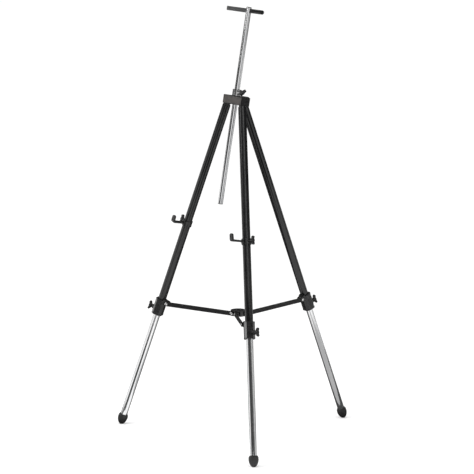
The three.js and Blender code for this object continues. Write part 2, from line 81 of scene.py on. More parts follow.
TONGUE_THICKNESS, TONGUE_HEIGHT = 7.0, 24.0
REAR_PIVOT_Y = 17.0
MAST_KNOB_TURN = -44.0

# Sizes of the visual model alone, in millimetres
CLAMP_BEVEL = 7.4
PIN_HALF = 11.5
RIB_PITCH, RIB_WIDTH, RIB_DEPTH = 5, 3.2, 1.05
BAR_SCREW_HOLE = 2.3
SCREW_HEIGHT = MAST_TOP - BAR_DROP - BAR_HEIGHT / 2

# Where a bevel is told from the faces beside it: its slant, and its area in square metres
BEVEL_SLANT, BEVEL_AREA = 0.68, 2e-5
CREASE = math.radians(32)

LEG_NAMES = ("front_left", "front_right", "rear")
STRAP_SIDE = {"front_left": 1, "front_right": -1, "rear": -1}
HUB_PIN = {"front_left": 18.0, "front_right": 18.0, "rear": 16.0}


# Frames -------------------------------------------------------------------------------


def frame_of(origin, x_axis, z_axis):
    """Matrix of a frame at origin, in metres, with the given X and Z axes."""
    x_axis = Vector(x_axis).normalized()
    z_axis = Vector(z_axis).normalized()
    y_axis = z_axis.cross(x_axis).normalized()
    x_axis = y_axis.cross(z_axis)
    made = Matrix((x_axis, y_axis, z_axis)).transposed().to_4x4()
    made.translation = Vector(origin)
    return made


def leg_frame(name):
    fold = JOINTS[f"leg_fold_{name}"]
    up = -Vector(JOINTS[f"leg_slide_{name}"]["axis"])
    outwards = Vector(fold["axis"]).cross(up)
    return frame_of(fold["pos_m"], outwards, up)


def knob_frame(joint_name, up):
    joint = JOINTS[joint_name]
    return frame_of(joint["pos_m"], joint["axis"], up)


def up_of(matrix):
    return matrix.to_3x3() @ Vector((0, 0, 1))


def local(x=0.0, y=0.0, z=0.0, turn=0.0, axis="Z"):
    """A move and a turn inside a frame, in millimetres and degrees."""
    return Matrix.Translation((x, y, z)) @ Matrix.Rotation(math.radians(turn), 4, axis)


# Turns that lay a solid drawn along Z down along X or Y
ALONG_X = Matrix.Rotation(math.pi / 2, 4, "Y")
ALONG_Y = Matrix.Rotation(-math.pi / 2, 4, "X")
# Turns for a prism whose outline is drawn in X and Z, or in Y and Z
STANDING = Matrix.Rotation(math.pi / 2, 4, "X")
ACROSS = Matrix.Rotation(math.pi / 2, 4, "Z") @ STANDING


# Mesh building ------------------------------------------------------------------------


def skinned(loops, closed=False):
    """Solid through loops of points, with flat ends, or joined end to end when closed.

    A loop of one point is a tip.
    """
    bm = bmesh.new()
    rings = [[bm.verts.new(point) for point in loop] for loop in loops]
    pairs = list(zip(rings, rings[1:]))
    if closed:
        pairs.append((rings[-1], rings[0]))
    for low, high in pairs:
        count = max(len(low), len(high))
        for i in range(count):
            j = (i + 1) % count
            if len(low) == 1:
                bm.faces.new((low[0], high[j], high[i]))
            elif len(high) == 1:
                bm.faces.new((low[i], low[j], high[0]))
            else:
                bm.faces.new((low[i], low[j], high[j], high[i]))
    if len(rings[0]) > 1 and not closed:
        bm.faces.new(list(reversed(rings[0])))
        bm.faces.new(rings[-1])
    bmesh.ops.recalc_face_normals(bm, faces=bm.faces)
    return bm


def lathe(profile, segments=64, closed=False):
    """Solid of revolution about Z from (radius, height) pairs listed upwards on the outside."""
    loops = []
    for radius, height in profile:
        count = segments if radius > 1e-6 else 1
        angles = [2 * math.pi * i / count for i in range(count)]
        loops.append([(radius * math.cos(a), radius * math.sin(a), height) for a in angles])
    return skinned(loops, closed)


def arc(cx, cy, radius, start, end, steps):
    """Points on an arc, in degrees."""
    points = []
    for i in range(steps + 1):
        a = math.radians(start + (end - start) * i / steps)
        points.append((cx + radius * math.cos(a), cy + radius * math.sin(a)))
    return points


def rounded(points, radius, steps=4):
    """The outline with each corner rounded. Radius is one number or one per corner."""
    made = []
    count = len(points)
    for i, point in enumerate(points):
        here = Vector(point)
        before = Vector(points[i - 1]) - here
        after = Vector(points[(i + 1) % count]) - here
        size = radius[i] if isinstance(radius, (list, tuple)) else radius
        angle = before.angle(after)
        if size <= 0 or angle > math.radians(176):
            made.append(tuple(here))
            continue
        reach = size / math.tan(angle / 2)
        limit = 0.48 * min(before.length, after.length)
        if reach > limit:
            reach = limit
            size = reach * math.tan(angle / 2)
        first = here + before.normalized() * reach
        last = here + after.normalized() * reach
        middle = (before.normalized() + after.normalized()).normalized()
        centre = here + middle * (size / math.sin(angle / 2))
        a0 = math.atan2(first.y - centre.y, first.x - centre.x)
        a1 = math.atan2(last.y - centre.y, last.x - centre.x)
        turn = (a1 - a0 + math.pi) % (2 * math.pi) - math.pi
        for k in range(steps + 1):
            a = a0 + turn * k / steps
            made.append((centre.x + size * math.cos(a), centre.y + size * math.sin(a)))
    return made


def inset(outline, distance):
    """The outline moved inwards, for an outline listed anticlockwise."""
    made = []
    count = len(outline)
    for i in range(count):
        before = Vector(outline[i]) - Vector(outline[i - 1])
        after = Vector(outline[(i + 1) % count]) - Vector(outline[i])
        n0 = Vector((-before.y, before.x)).normalized()
        n1 = Vector((-after.y, after.x)).normalized()
        bisector = n0 + n1
        if bisector.length < 1e-6:
            bisector = n0
        bisector.normalize()
        scale = distance / max(0.35, bisector.dot(n0))
        made.append((outline[i][0] + bisector.x * scale, outline[i][1] + bisector.y * scale))
    return made


def area_of(outline):
    total = 0.0
    for i, (x, y) in enumerate(outline):
        px, py = outline[i - 1]
        total += px * y - x * py
    return total / 2


def prism(outline, low, high, edge=0.0, steps=3):
    """A prism along Z whose two end edges are rounded over by edge."""
    outline = list(outline)
    if area_of(outline) < 0:
        outline.reverse()
    layers = []
    if edge > 0:
        for k in range(steps + 1):
            a = math.pi / 2 * k / steps
            layers.append((low + edge * (1 - math.sin(a)), edge * (1 - math.cos(a))))
        layers.reverse()
        top = [(low + high - z, d) for z, d in reversed(layers)]
        layers += top
    else:
        layers = [(low, 0.0), (high, 0.0)]
    loops = []
    for z, distance in layers:
        points = inset(outline, distance) if distance > 1e-6 else outline
        loops.append([(x, y, z) for x, y in points])
    return skinned(loops)


def block(x0, x1, y0, y1, z0, z1, corner=1.0, edge=1.0, steps=3):
    """A box with rounded upright corners and rounded top and bottom edges."""
    corner = max(corner, edge * 1.05)
    outline = rounded([(x0, y0), (x1, y0), (x1, y1), (x0, y1)], corner, steps)
    return prism(outline, z0, z1, edge, steps)


def moved(bm, matrix):
    bmesh.ops.transform(bm, matrix=matrix, verts=bm.verts)
    if matrix.determinant() < 0:
        bmesh.ops.reverse_faces(bm, faces=bm.faces)
    return bm


def shaft(radius, low, high, edge=0.3, segments=48):
    """A round bar along Z with softened ends."""
    profile = [(0, low)]
    for k in range(4):
        a = math.pi / 2 * k / 3
        profile.append((radius - edge + edge * math.sin(a), low + edge - edge * math.cos(a)))
    profile += [(r, low + high - z) for r, z in reversed(profile)]
    return lathe(profile, segments)


def drill(radius, low, high, along, matrix):
    """Cutter for a round hole along X or Y, moved by the matrix."""
    return moved(moved(shaft(radius, low, high, 0.1, 32), along), matrix)


def linked(name, data):
    """A new object in the scene."""
    made = bpy.data.objects.new(name, data)
    bpy.context.scene.collection.objects.link(made)
    return made


def mesh_of(name, bm):
    """A mesh datablock of the working mesh, which is freed."""
    mesh = bpy.data.meshes.new(name)
    bm.to_mesh(mesh)
    bm.free()
    return mesh


def combined(base, tools, operation):
    """The base joined with or cut by the tools, as one closed mesh."""
    target, *helpers = [linked("work", mesh_of("work", bm)) for bm in (base, *tools)]
    for helper in helpers:
        modifier = target.modifiers.new("work", "BOOLEAN")
        modifier.operation = operation
        modifier.solver = "MANIFOLD"
        modifier.object = helper
    graph = bpy.context.evaluated_depsgraph_get()
    mesh = bpy.data.meshes.new_from_object(target.evaluated_get(graph))
    made = bmesh.new()
    made.from_mesh(mesh)
    old = [target.data, mesh] + [helper.data for helper in helpers]
    for item in [target] + helpers:
        bpy.data.objects.remove(item)
    for item in old:
        bpy.data.meshes.remove(item)
    clean = made.copy()
    bmesh.ops.dissolve_degenerate(clean, edges=clean.edges, dist=2e-4)
    if all(edge.is_manifold for edge in clean.edges):
        made.free()
        return clean
    clean.free()
    return made


def fused(base, *tools):
    return combined(base, tools, "UNION")


def cut(base, *tools):
    return combined(base, tools, "DIFFERENCE")


def threaded(low, high, major=SCREW_RADIUS, minor=2.5, pitch=1.0, segments=24):
    """A screw shank along Z with one continuous helical thread and coned ends."""
    rows = int((high - low) / pitch * 6)
    loops = []
    for row in range(rows + 1):
        z = low + (high - low) * row / rows
        fade = max(0.0, min(1.0, (z - low) / 1.2, (high - z) / 1.2))
        loop = []
        for i in range(segments):
            a = 2 * math.pi * i / segments
            crest = abs(2 * ((z / pitch - i / segments) % 1.0) - 1)
            radius = minor + (major - minor) * crest * fade
            loop.append((radius * math.cos(a), radius * math.sin(a), z))
        loops.append(loop)
    return skinned(loops)


def keep_local(mesh):
    """Stores each point's place in the piece's own frame, which its material reads."""
    store = mesh.attributes.new(LOCAL, "FLOAT_VECTOR", "POINT")
    store.data.foreach_set("vector", [c for vertex in mesh.vertices for c in vertex.co])


def place(node, bm, matrix, body, material):
    """Makes a piece in place of a CAD node, shades it, and hands it to its body."""
    bmesh.ops.scale(bm, vec=(MM, MM, MM), verts=bm.verts)
    bmesh.ops.recalc_face_normals(bm, faces=bm.faces)
    name = f"{node}_piece"
    mesh = mesh_of(name, bm)
    keep_local(mesh)
    mesh.transform(matrix)
    mesh.materials.append(material)
    made = linked(name, mesh)
    mesh.shade_smooth()
    mesh.set_sharp_from_angle(angle=CREASE)
    flatter = made.modifiers.new("flat faces keep their normals", "WEIGHTED_NORMAL")
    flatter.keep_sharp = True
    flatter.weight = 100
    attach(made, body)
    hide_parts(node)
    return made


# Materials ----------------------------------------------------------------------------


EVEN = (1, 1, 1)


class Finish:
    """One procedural material whose patterns follow the piece's own frame."""

    def __init__(self, name):
        self.material = bpy.data.materials.new(name)
        self.material.use_nodes = True
        self.nodes = self.material.node_tree.nodes
        self.links = self.material.node_tree.links
        self.shader = self.nodes["Principled BSDF"]
        source = self.nodes.new("ShaderNodeAttribute")
        source.attribute_name = LOCAL
        self.place = source.outputs["Vector"]
        self.height = None

    def set(self, **values):
        for key, value in values.items():
            socket = self.shader.inputs[key.replace("_", " ")]
            socket.default_value = value
        return self

    def link(self, output, target):
        self.links.new(output, target)
    def node(self, kind, **values):
        """A new node with values on its inputs, named with _ for each blank."""
        made = self.nodes.new(f"ShaderNode{kind}")
        for key, value in values.items():
            made.inputs[key.replace("_", " ")].default_value = value
        return made

    def stretched(self, scale):
        """The place in the piece's own frame, in metres, times a scale for each axis."""
        made = self.node("Mapping", Scale=scale)
        self.link(self.place, made.inputs["Vector"])
        return made.outputs["Vector"]

    def noise(self, scale, detail=3.0, roughness=0.55, stretch=EVEN, distortion=0.0):
        made = self.node("TexNoise", Scale=scale, Detail=detail, Roughness=roughness)
        made.inputs["Distortion"].default_value = distortion
        self.link(self.stretched(stretch), made.inputs["Vector"])
        return made.outputs["Fac"]

    def cells(self, scale):
        made = self.node("TexVoronoi", Scale=scale)
        self.link(self.stretched(EVEN), made.inputs["Vector"])
        return made.outputs["Distance"]

    def ramp(self, value, low, high, out_low=0.0, out_high=1.0):
        made = self.node("MapRange", From_Min=low, From_Max=high, To_Min=out_low, To_Max=out_high)
        made.interpolation_type = "SMOOTHSTEP"
        self.link(value, made.inputs["Value"])
        return made.outputs["Result"]

    def math(self, operation, a, b):
        node = self.nodes.new("ShaderNodeMath")
        node.operation = operation
        for socket, value in zip(node.inputs, (a, b)):
            if isinstance(value, (int, float)):
                socket.default_value = value
            else:
                self.link(value, socket)
        return node.outputs[0]

    def mix(self, factor, first, second):
        node = self.nodes.new("ShaderNodeMix")
        node.data_type = "RGBA"
        self.link(factor, node.inputs["Factor"])
        for socket, colour in ((node.inputs[6], first), (node.inputs[7], second)):
            if isinstance(colour, (list, tuple)):
                socket.default_value = (*colour, 1.0)
            else:
                self.link(colour, socket)
        return node.outputs[2]

    def bump(self, value, strength, distance):
        made = self.node("Bump", Strength=strength, Distance=distance)
        self.link(value, made.inputs["Height"])
        if self.height is not None:
            self.link(self.height, made.inputs["Normal"])
        self.height = made.outputs["Normal"]
        self.link(self.height, self.shader.inputs["Normal"])

    def colour(self, output):
        self.link(output, self.shader.inputs["Base Color"])

    def roughness(self, output):
        self.link(output, self.shader.inputs["Roughness"])


def gloss_black():
    """Stoved black enamel on a tube: orange peel, hairline rubs along the tube, dust."""
    made = Finish("gloss_black").set(Metallic=0.0, IOR=1.5)
    peel = made.noise(420, 2.0, 0.5)
    hairs = made.noise(900, 4.0, 0.65, stretch=(1, 1, 0.035))
    smudge = made.noise(24, 4.0, 0.6, stretch=(1, 1, 0.5))
    dust = made.noise(1500, 2.0, 0.7)
    rub = made.ramp(hairs, 0.62, 0.76)
    specks = made.ramp(dust, 0.7, 0.78)
    base = made.mix(
        made.ramp(smudge, 0.35, 0.7), (0.0035, 0.0035, 0.0038), (0.006, 0.006, 0.0062)
    )
    worn = made.mix(made.math("MULTIPLY", rub, 0.35), base, (0.03, 0.03, 0.031))
    made.colour(made.mix(made.math("MULTIPLY", specks, 0.3), worn, (0.05, 0.049, 0.047)))
    rough = made.ramp(smudge, 0.3, 0.75, 0.13, 0.24)
    made.roughness(made.math("ADD", rough, made.math("MULTIPLY", rub, 0.16)))
    made.bump(peel, 0.12, 0.0002)
    made.bump(hairs, 0.05, 0.0001)
    return made.material


def chrome():
    """Bright plated tube with a faint lengthwise polish and finger haze."""
    made = Finish("chrome").set(Metallic=1.0, IOR=1.45)
    polish = made.noise(1100, 3.0, 0.6, stretch=(1, 1, 0.02))
    haze = made.noise(18, 4.0, 0.6, stretch=(1, 1, 0.4))
    pits = made.cells(900)
    tint = made.mix(made.ramp(haze, 0.3, 0.7), (0.7, 0.705, 0.715), (0.78, 0.78, 0.785))
    made.colour(made.mix(made.ramp(pits, 0.02, 0.07, 0.6, 0.0), tint, (0.35, 0.34, 0.33)))
    rough = made.ramp(haze, 0.35, 0.75, 0.07, 0.17)
    made.roughness(made.math("ADD", rough, made.ramp(polish, 0.5, 0.8, 0.0, 0.1)))
    made.bump(polish, 0.06, 0.00008)
    return made.material


def black_plastic():
    """Moulded black nylon with spark-eroded grain, rubbed smoother on its high spots."""
    made = Finish("black_plastic").set(Metallic=0.0, IOR=1.5)
    grain = made.noise(1900, 3.0, 0.6)
    flow = made.noise(60, 3.0, 0.55, distortion=0.6)
    rub = made.noise(170, 4.0, 0.65)
    base = made.mix(made.ramp(flow, 0.35, 0.7), (0.006, 0.006, 0.0062), (0.011, 0.011, 0.0113))
    made.colour(made.mix(made.ramp(rub, 0.62, 0.8, 0.0, 0.5), base, (0.03, 0.03, 0.031)))
    shine = made.ramp(flow, 0.3, 0.75, 0.2, 0.3)
    made.roughness(made.math("SUBTRACT", shine, made.ramp(rub, 0.6, 0.8, 0.0, 0.1)))
    made.bump(grain, 0.3, 0.00012)
    return made.material


def grained(name, grain, cloud, tones, shine, bump, spots=None, **shader):
    """A material with a fine grain, broad clouds of tone and, with spots, some wear.

    Grain and cloud are the settings of two noises. Tones are where the clouds begin and
    end and their two colours. Shine is the noise that sets the roughness, where it
    begins, and two values. Bump is a strength and a depth in metres. Spots are a noise of
    their own or none, where they begin, how strong they are, and their colour.
    """
    made = Finish(name).set(**shader)
    noises = {"grain": made.noise(*grain), "cloud": made.noise(*cloud)}
    low, high, dark, light = tones
    tone = made.mix(made.ramp(noises["cloud"], low, high), dark, light)
    if spots:
        own, start, amount, colour = spots
        spread = made.noise(*own) if own else noises["cloud"]
        tone = made.mix(made.ramp(spread, start, 0.8, 0.0, amount), tone, colour)
    made.colour(tone)
    by, start, first, last = shine
    made.roughness(made.ramp(noises[by], start, 0.75, first, last))
    made.bump(noises["grain"], *bump)
    return made.material


GLOSS_BLACK = gloss_black()
CHROME = chrome()
PLASTIC = black_plastic()

# Zinc plated rivets, pins and screws
STEEL = grained(
    "bright_steel", (2200, 3.0, 0.6), (240, 3.0, 0.55),
    (0.35, 0.7, (0.7, 0.7, 0.71), (0.5, 0.495, 0.48)),
    ("grain", 0.3, 0.16, 0.34), (0.12, 0.00008), Metallic=1.0,
)
# Polished grey die casting of the mast collar
COLLAR = grained(
    "collar_metal", (1600, 3.0, 0.6), (130, 3.0, 0.55),
    (0.35, 0.7, (0.42, 0.42, 0.42), (0.3, 0.296, 0.29)),
    ("grain", 0.3, 0.12, 0.24), (0.12, 0.00008), Metallic=0.95,
)
# Painted light on the head's flat front: its glass-filled plastic painted a lighter warm charcoal
# as its lit side, mottled, with stray fibres
LIT_HEAD_FRONT = grained(
    "head_plastic", (1500, 4.0, 0.65), (85, 4.0, 0.6, EVEN, 0.4),
    (0.35, 0.68, (0.032, 0.028, 0.0255), (0.054, 0.0475, 0.0435)),
    ("cloud", 0.3, 0.4, 0.52), (0.25, 0.00012),
    ((700, 3.0, 0.6, (0.15, 1, 1)), 0.62, 0.35, (0.085, 0.078, 0.071)), IOR=1.52,
)
# Semi-matt black paint on the flat steel braces, scuffed along their length
BRACE = grained(
    "brace_black", (700, 3.0, 0.6), (260, 4.0, 0.7, (0.2, 1, 1)),
    (0.4, 0.66, (0.005, 0.005, 0.0052), (0.009, 0.009, 0.0093)),
    ("grain", 0.3, 0.3, 0.44), (0.2, 0.00012),
    (None, 0.7, 0.5, (0.06, 0.06, 0.061)), IOR=1.36,
)
# Painted highlight on the clamps' outer bevels: the same nylon, painted lighter and made glossier
# as their lit corners
BEVEL_HIGHLIGHT = grained(
    "bevel_painted_highlight", (1500, 3.0, 0.6), (120, 4.0, 0.65, (1, 1, 0.35)),
    (0.35, 0.7, (0.012, 0.012, 0.0122), (0.03, 0.03, 0.0305)),
    ("cloud", 0.35, 0.3, 0.18), (0.15, 0.0001), IOR=2.9,
)
# Painted light on the bar's flat blade: its front painted grey as its lit side
LIT_BLADE_FRONT = grained(
    "blade_painted_light", (1700, 3.0, 0.6), (260, 4.0, 0.65, (0.25, 1, 1), 0.3),
    (0.35, 0.68, (0.02, 0.02, 0.0204), (0.048, 0.048, 0.0485)),
    ("cloud", 0.3, 0.4, 0.56), (0.25, 0.00012), IOR=1.5,
)
# Painted shade: the plastic painted deep black as a shaded copy, on the head's body and the bar's
# round grip
SHADED_BLACK = grained(
    "black_painted_shade", (1200, 3.0, 0.6), (140, 4.0, 0.65),
    (0.35, 0.7, (0.003, 0.003, 0.0031), (0.006, 0.006, 0.0062)),
    ("grain", 0.3, 0.22, 0.36), (0.2, 0.00012),
    (None, 0.66, 0.4, (0.02, 0.02, 0.0205)), IOR=1.45, Specular_IOR_Level=0.3,
)
# Black rubber of the feet, with a matt bloom, fine grit and dust
RUBBER = grained(
    "rubber", (1300, 4.0, 0.65), (55, 4.0, 0.6),
    (0.35, 0.7, (0.009, 0.009, 0.0093), (0.016, 0.0158, 0.0155)),
    ("grain", 0.3, 0.5, 0.72), (0.4, 0.0002),
    ((420, 4.0, 0.7), 0.62, 0.5, (0.05, 0.048, 0.046)), IOR=1.5,
)


# Shared shapes ------------------------------------------------------------------------


def tube(outer, inner, low, high, lip=0.35, segments=72):
    """A tube along Z with rounded rims."""
    profile = [(inner + lip, low), (outer - lip, low), (outer - lip * 0.3, low + lip * 0.3)]
    profile += [(outer, low + lip), (outer, high - lip), (outer - lip * 0.3, high - lip * 0.3)]
    profile += [(outer - lip, high), (inner + lip, high), (inner, high - lip), (inner, low + lip)]
    return lathe(profile, segments, closed=True)


def wing_knob(reach):
    """Two-winged knob on X from x = 0, with rounded hollowed wings and a round hub."""
    half = KNOB_THICKNESS / 2
    side = [(2.0, 4.6), (4.6, reach - 2.8), (7.6, reach), (10.8, reach - 0.6)]
    side += [(12.0, reach - 3.6), (10.3, 4.0)]
    outline = side + [(x, -z) for x, z in reversed(side)]
    corner = [1.6, 2.4, 2.2, 1.8, 1.7, 2.5]
    outline = rounded(outline, corner + corner[::-1], 5)
    wings = moved(prism(outline, -half, half, 1.2, 5), STANDING)
    profile = [(0, 0), (5.2, 0), (5.9, 0.3), (6.2, 1.0), (6.2, 8.6), (5.8, 9.6), (4.9, 10.2)]
    profile += [(3.4, 10.4), (3.0, 10.1), (2.7, 9.7), (0, 9.6)]
    hub = moved(lathe(profile, 48), ALONG_X)
    tools = [moved(shaft(SCREW_HOLE, -1, 8, 0.2, 32), ALONG_X)]
    middle = 0.5 * (4.6 + reach) + 0.6
    for z_side in (-1, 1):
        for y_side in (-1, 1):
            turn = Matrix.Rotation(math.pi / 2 * -y_side, 4, "X")
            dish = moved(lathe(dish_profile(2.5), 32), turn)
            tools.append(moved(dish, local(7.7, y_side * (half + 1.15), z_side * middle)))
    return cut(fused(wings, hub), *tools)


def dish_profile(radius, depth=1.8):
    """A spherical cutter that dips by depth below its widest ring."""
    points = [(0, -depth)]
    for angle in (20, 40, 60, 80):
        a = math.radians(angle)
        points.append((radius * math.sin(a), -depth * math.cos(a)))
    return points + [(radius, 0.4), (0, 0.4)]


def add_knob(kind, which, up, reach, tip, turn=0.0):
    """A wing knob and its screw on the joint that turns them."""
    place_at = knob_frame(f"{kind}_knob_turn{which}", up)
    node = f"{kind}_knob{which}"
    knob = moved(wing_knob(reach), local(x=KNOB_START, turn=turn, axis="X"))
    place(node, knob, place_at, node, PLASTIC)
    screw = moved(threaded(tip, KNOB_START + 7.7), ALONG_X)
    place(f"{kind}_screw{which}", screw, place_at, node, STEEL)


# Legs ---------------------------------------------------------------------------------


def leg_top():
    """Plug in the top of an upper tube with a ball-ended neck for the pivot pin."""
    bore, neck, shoulder = UPPER_BORE - GAP, NECK_RADIUS, -UPPER_TOP - 2
    profile = [(0, -NECK_PLUG), (bore - 0.8, -NECK_PLUG), (bore, -NECK_PLUG + 0.8)]
    profile += [(bore, -UPPER_TOP - 2.4), (bore - 0.4, shoulder), (neck, shoulder)]
    profile += [(neck, -10), (neck - 0.5, -9.6), (neck - 0.5, -8.6), (neck, -8.2), (neck, 0)]
    profile += [*arc(0, 0, neck, 9, 81, 8), (0, neck)]
    hole = moved(shaft(RIVET_HOLE, -20, 20, 0.2, 32), ALONG_Y)
    return cut(lathe(profile, 48), hole)


def clamp_housing(side, knob_turn):
    """Octagonal clamp housing with lips, ribbed faces, a screw boss and a brace lug."""
    inner = CLAMP_HALF - CLAMP_BEVEL
    corners = []
    for quarter in range(4):
        for y in (-inner, inner):
            point = Vector((CLAMP_HALF, y))
            point.rotate(Matrix.Rotation(-quarter * math.pi / 2, 2))
            corners.append((point.x, point.y))
    corners.sort(key=lambda p: math.atan2(p[1], p[0]))
    outline = rounded(corners, 1.6, 4)
    barrel = prism(inset(outline, 0.35), -CLAMP_END + 1.2, -CLAMP_TOP - 1.2, 0.6, 2)
    lips = []
    for low, high in ((-CLAMP_END, -CLAMP_END + 4.6), (-CLAMP_TOP - 5.0, -CLAMP_TOP)):
        lips.append(prism(outline, low, high, 0.9, 3))
    lug = [(-10, LUG_RADIUS), *arc(-LUG_OFFSET, 0, LUG_RADIUS, 90, 270, 20), (-10, -LUG_RADIUS)]
    low, high = (0, CLAMP_HALF) if side > 0 else (-CLAMP_HALF, 0)
    ear = moved(prism(lug, low, high, 1.0, 3), STANDING)
    ear = moved(ear, local(y=low + high, z=-LUG_AT))
    place_boss = Matrix.Rotation(knob_turn, 4, "Z") @ local(z=-KNOB_AT)
    profile = [(0, 10), (BOSS_RADIUS + 1.6, 10), (BOSS_RADIUS + 1.2, 16.2), (BOSS_RADIUS, 17.6)]
    profile += [(BOSS_RADIUS, BOSS_END - 0.9), (BOSS_RADIUS - 0.9, BOSS_END), (0, BOSS_END)]
    boss = moved(moved(lathe(profile, 48), ALONG_X), place_boss)
    body = fused(barrel, *lips, ear, boss)
    tools = [shaft(UPPER_RADIUS + GAP, -UPPER_END - GAP, -CLAMP_TOP + 5, 0.1, 64)]
    tools.append(shaft(LOWER_RADIUS + GAP, -CLAMP_END - 5, -CLAMP_TOP, 0.1, 64))
    tools.append(drill(SCREW_HOLE, 5, 30, ALONG_X, place_boss))
    tools.append(drill(RIVET_HOLE, low - 1, high + 1, ALONG_Y, local(x=-LUG_OFFSET, z=-LUG_AT)))
    for quarter in range(4):
        angle = quarter * 90.0
        if abs((angle - math.degrees(knob_turn) + 180) % 360 - 180) < 1:
            continue
        low_z, high_z = -CLAMP_END + 8.0, -CLAMP_TOP - 8.5
        if quarter == 2 or abs(angle - 90 * side % 360) < 1:
            high_z = -LUG_AT - LUG_RADIUS - 3
        x = CLAMP_HALF - RIB_DEPTH
        for z in range(int(low_z), int(high_z) - 1, RIB_PITCH):
            groove = block(x, CLAMP_HALF + 4, -5.4, 5.4, z, z + RIB_WIDTH, 0.2, 0.7, 2)
            tools.append(moved(groove, Matrix.Rotation(math.radians(angle), 4, "Z")))
    return cut(body, *tools)


def refinish(piece, place_at, *rules):
    """Gives faces another finish where its rule holds for their place, normal and area."""
    turn, inverse = place_at.to_3x3().inverted(), place_at.inverted()
    for index, (material, rule) in enumerate(rules, 1):
        piece.data.materials.append(material)
        for face in piece.data.polygons:
            if rule((inverse @ face.center) / MM, turn @ face.normal, face.area):
                face.material_index = index


def is_outer_bevel(middle, normal, area):
    return min(normal.x, abs(normal.y)) > BEVEL_SLANT and area > BEVEL_AREA


def is_flat_front(middle, normal, area):
    return normal.y < -0.99


def is_blade_front(middle, normal, area):
    return middle.x <= MAST_RADIUS and normal.y < -0.75


def is_grip(middle, normal, area):
    return middle.x > MAST_RADIUS


def foot(length, to_world):
    """Rubber foot: a bulb with a rolled rim, two grip grooves and a flat on the floor."""
    top = -length + FOOT_LENGTH
    z, r, inner = -length, FOOT_RADIUS, LOWER_RADIUS + GAP
    profile = [(0, z - 1), (3.2, z - 0.5), (6.2, z + 1.2), (9.2, z + 4), (11.2, z + 7.2)]
    profile += [(12.9, z + 10.6), (14.1, z + 14), (14.95, z + 17.4)]
    profile += [(14.6, z + 18.0), (14.75, z + 18.7), (15.3, z + 19.4), (r, z + 22)]
    profile += [(r, z + 23.2), (15.1, z + 23.9), (15.1, z + 24.6), (r - 0.1, z + 25.3)]
    profile += [(r - 0.2, z + 28), (15.0, z + 29.8), (14.2, z + 31)]
    profile += [(FOOT_RIM, z + 31.6), (FOOT_RIM, top - 0.8), (FOOT_RIM - 0.6, top)]
    profile += [(inner + 0.4, top), (inner, top - 0.5)]
    profile += [(inner, z + FOOT_FLOOR - GAP), (0, z + FOOT_FLOOR - GAP)]
    made = lathe(profile, 72)
    floor = to_world.inverted()
    point = floor @ Vector((0, 0, 0))
    normal = floor.to_3x3() @ Vector((0, 0, -1))
    geometry = made.verts[:] + made.edges[:] + made.faces[:]
    bmesh.ops.bisect_plane(
        made, geom=geometry, plane_co=point / MM, plane_no=normal, clear_outer=True
    )
    open_edges = [edge for edge in made.edges if edge.is_boundary]
    bmesh.ops.holes_fill(made, edges=open_edges)
    return made


def build_leg(name):
    place_at = leg_frame(name)
    up = up_of(place_at)
    leg, lower = f"leg_{name}", f"lower_leg_{name}"
    length = place_at.translation.z / MM / up.z
    place(f"leg_top_{name}", leg_top(), place_at, leg, PLASTIC)
    upper = tube(UPPER_RADIUS, UPPER_BORE, -UPPER_END, -UPPER_TOP)
    place(f"upper_tube_{name}", upper, place_at, leg, GLOSS_BLACK)
    knob_axis = Vector(JOINTS[f"clamp_knob_turn_{name}"]["axis"])
    local_axis = place_at.to_3x3().inverted() @ knob_axis
    knob_turn = math.atan2(local_axis.y, local_axis.x)
    housing = clamp_housing(STRAP_SIDE[name], knob_turn)
    clamp = place(f"leg_clamp_{name}", housing, place_at, leg, PLASTIC)
    # Painted highlight: the outer bevels get the lighter, glossier copy of the nylon
    refinish(clamp, place_at, (BEVEL_HIGHLIGHT, is_outer_bevel))
    inner = tube(LOWER_RADIUS, LOWER_BORE, -length + FOOT_FLOOR, -LOWER_TOP)
    place(f"lower_tube_{name}", inner, place_at, lower, CHROME)
    place(f"foot_{name}", foot(length, place_at), place_at, lower, RUBBER)
    add_knob("clamp", f"_{name}", up, KNOB_REACH, LOWER_RADIUS + 0.5)


# Canvas hooks -------------------------------------------------------------------------


def hook_arm():
    """Arm and upturned tongue with soft edges, a channel underneath and a hollowed face."""
    half = HOOK_THICKNESS / 2
    top = TONGUE_HEIGHT - half
    inside = HOOK_REACH - TONGUE_THICKNESS
    outline = [(BAND_RADIUS - 1, -2), (HOOK_REACH - 6.5, -2.5), (HOOK_REACH - 1.5, -1)]
    outline += [(HOOK_REACH, 4), (HOOK_REACH, top), (inside + 1.2, top), (inside, half)]
    outline += [(BAND_RADIUS - 1, 2)]
    outline = rounded(outline, [0, 3.0, 3.5, 4.0, 1.6, 1.6, 2.6, 0], 5)
    blank = moved(prism(outline, -HOOK_HALF_WIDTH, HOOK_HALF_WIDTH, 1.2, 4), STANDING)
    crown = top - HOOK_HALF_WIDTH
    face = [(-9, -20), (9, -20), (9, crown - 2), (HOOK_HALF_WIDTH, crown)]
    face += arc(0, crown, HOOK_HALF_WIDTH, 0, 180, 24)[1:]
    face += [(-9, crown - 2)]
    keep = moved(prism(face, 0, HOOK_REACH + 5), ACROSS)
    arm = combined(blank, [keep], "INTERSECT")
    pad = [(-4.4, 6), (4.4, 6), (4.4, top - 5.5), (-4.4, top - 5.5)]
    pad = moved(prism(rounded(pad, [1.5, 1.5, 4.0, 4.0], 6), 0, 4.8), ACROSS)
    pad = moved(pad, local(x=HOOK_REACH - 0.8))
    channel = block(22, HOOK_REACH - 11, -3.6, 3.6, -6, -1.7, 1.2, 0.4)
    return cut(arm, pad, channel)


